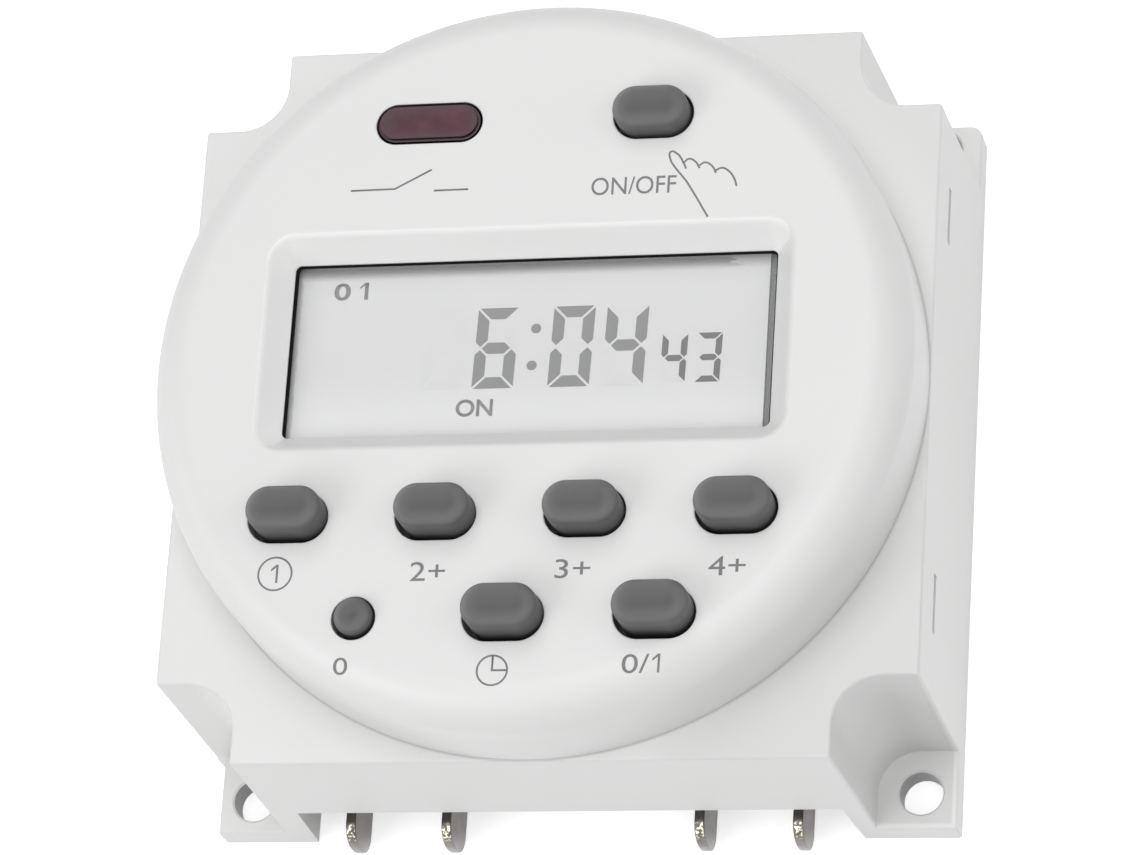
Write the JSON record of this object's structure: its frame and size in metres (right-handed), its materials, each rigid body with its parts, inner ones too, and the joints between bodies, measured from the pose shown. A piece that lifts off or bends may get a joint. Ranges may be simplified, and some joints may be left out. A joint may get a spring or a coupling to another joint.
{
  "type": "digital timer switch",
  "caption": "Panel-mounted digital timer switch: notched square case with a round dome, display, push keys, indicator, and tab terminals.",
  "frame": {"origin": "on the back face, midway between the mounting holes", "axes": "+X to the right of the display, +Y to its top, +Z out of the face; the timer lies on its back"},
  "size_m": [0.06, 0.0616, 0.0316],
  "materials": {
    "cover_white": "fine matt moulding",
    "cell_steel": "nickel plated",
    "clip_steel": "tinned",
    "carbon_pill": "matt",
    "key_grey": "satin",
    "can_steel": "satin",
    "tinned_pin": "tinned",
    "connector_rubber": "matt",
    "chip_black": "moulded epoxy",
    "polariser": "smooth film",
    "frame_plastic": "matt",
    "display_glass": "polished",
    "gasket_foam": "matt foam",
    "reflector_film": "satin",
    "clear_window": "polished",
    "capacitor_box": "moulded box",
    "housing_white": "fine matt moulding",
    "led_red": "clear tinted resin",
    "lens_red": "polished tinted",
    "silicone": "matt",
    "header_black": "matt",
    "pin_brass": "plated",
    "board_green": "solder mask",
    "screw_steel": "zinc plated",
    "board_brown": "bare laminate",
    "diode_black": "moulded, tinned leads",
    "relay_iron": "plated iron",
    "relay_black": "matt",
    "relay_shell": "matt moulded",
    "coil_copper": "enamelled wire",
    "resistor_body": "lacquered, tinned leads",
    "capacitor_can": "sleeved",
    "tab_tinned": "tinned",
    "varistor_blue": "coated"
  },
  "bodies": {
    "timer_case": {"back_cover": "cover_white", "backup_cell": "cell_steel", "cell_clips": "clip_steel", "clock_crystal": "can_steel", "component_leads": "tinned_pin", "connector_strips": "connector_rubber", "controller_chip": "chip_black", "display_film": "polariser", "display_frame": "frame_plastic", "display_front_glass": "display_glass", "display_gasket": "gasket_foam", "display_rear_glass": "display_glass", "display_reflector": "reflector_film", "display_window": "clear_window", "driver_transistor": "chip_black", "film_capacitor": "capacitor_box", "housing": "housing_white", "indicator_led": "led_red", "indicator_lens": "lens_red", "keypad_mat": "silicone", "link_header": "header_black", "link_pins": "pin_brass", "logic_board": "board_green", "logic_board_screws": "screw_steel", "power_board": "board_brown", "power_board_screws": "screw_steel", "rectifier_diodes": "diode_black", "relay_base": "relay_black", "relay_case": "relay_shell", "relay_coil": "coil_copper", "relay_core": "relay_iron", "relay_pins": "tinned_pin", "relay_yoke": "relay_iron", "resistors": "resistor_body", "storage_capacitor": "capacitor_can", "terminal_1": "tab_tinned", "terminal_2": "tab_tinned", "terminal_3": "tab_tinned", "terminal_4": "tab_tinned", "varistor": "varistor_blue"},
    "clear_key_body": {"clear_key": "key_grey", "clear_contact": "carbon_pill"},
    "clock_key_body": {"clock_key": "key_grey", "clock_contact": "carbon_pill"},
    "manual_key_body": {"manual_key": "key_grey", "manual_contact": "carbon_pill"},
    "plus_key_1_body": {"plus_key_1": "key_grey", "plus_contact_1": "carbon_pill"},
    "plus_key_2_body": {"plus_key_2": "key_grey", "plus_contact_2": "carbon_pill"},
    "plus_key_3_body": {"plus_key_3": "key_grey", "plus_contact_3": "carbon_pill"},
    "program_key_body": {"program_key": "key_grey", "program_contact": "carbon_pill"},
    "select_key_body": {"select_key": "key_grey", "select_contact": "carbon_pill"},
    "relay_armature_body": {"relay_armature": "relay_iron"}
  },
  "joints": [
    {"name": "clear_key_press", "type": "slide", "parent": "timer_case", "child": "clear_key_body", "axis": [0, 0, -1], "range_m": [0, 0.0009], "stiffness_N_per_m": 1300},
    {"name": "clock_key_press", "type": "slide", "parent": "timer_case", "child": "clock_key_body", "axis": [0, 0, -1], "range_m": [0, 0.0009], "stiffness_N_per_m": 1300},
    {"name": "manual_key_press", "type": "slide", "parent": "timer_case", "child": "manual_key_body", "axis": [0, 0, -1], "range_m": [0, 0.0009], "stiffness_N_per_m": 1300},
    {"name": "plus_key_1_press", "type": "slide", "parent": "timer_case", "child": "plus_key_1_body", "axis": [0, 0, -1], "range_m": [0, 0.0009], "stiffness_N_per_m": 1300},
    {"name": "plus_key_2_press", "type": "slide", "parent": "timer_case", "child": "plus_key_2_body", "axis": [0, 0, -1], "range_m": [0, 0.0009], "stiffness_N_per_m": 1300},
    {"name": "plus_key_3_press", "type": "slide", "parent": "timer_case", "child": "plus_key_3_body", "axis": [0, 0, -1], "range_m": [0, 0.0009], "stiffness_N_per_m": 1300},
    {"name": "program_key_press", "type": "slide", "parent": "timer_case", "child": "program_key_body", "axis": [0, 0, -1], "range_m": [0, 0.0009], "stiffness_N_per_m": 1300},
    {"name": "select_key_press", "type": "slide", "parent": "timer_case", "child": "select_key_body", "axis": [0, 0, -1], "range_m": [0, 0.0009], "stiffness_N_per_m": 1300},
    {"name": "relay_armature_rock", "type": "hinge", "parent": "timer_case", "child": "relay_armature_body", "pos_m": [-0.0066, 0.004, 0.0159], "axis": [0, -1, 0], "range_deg": [0, 4], "stiffness_Nm_per_rad": 0.02}
  ]
}
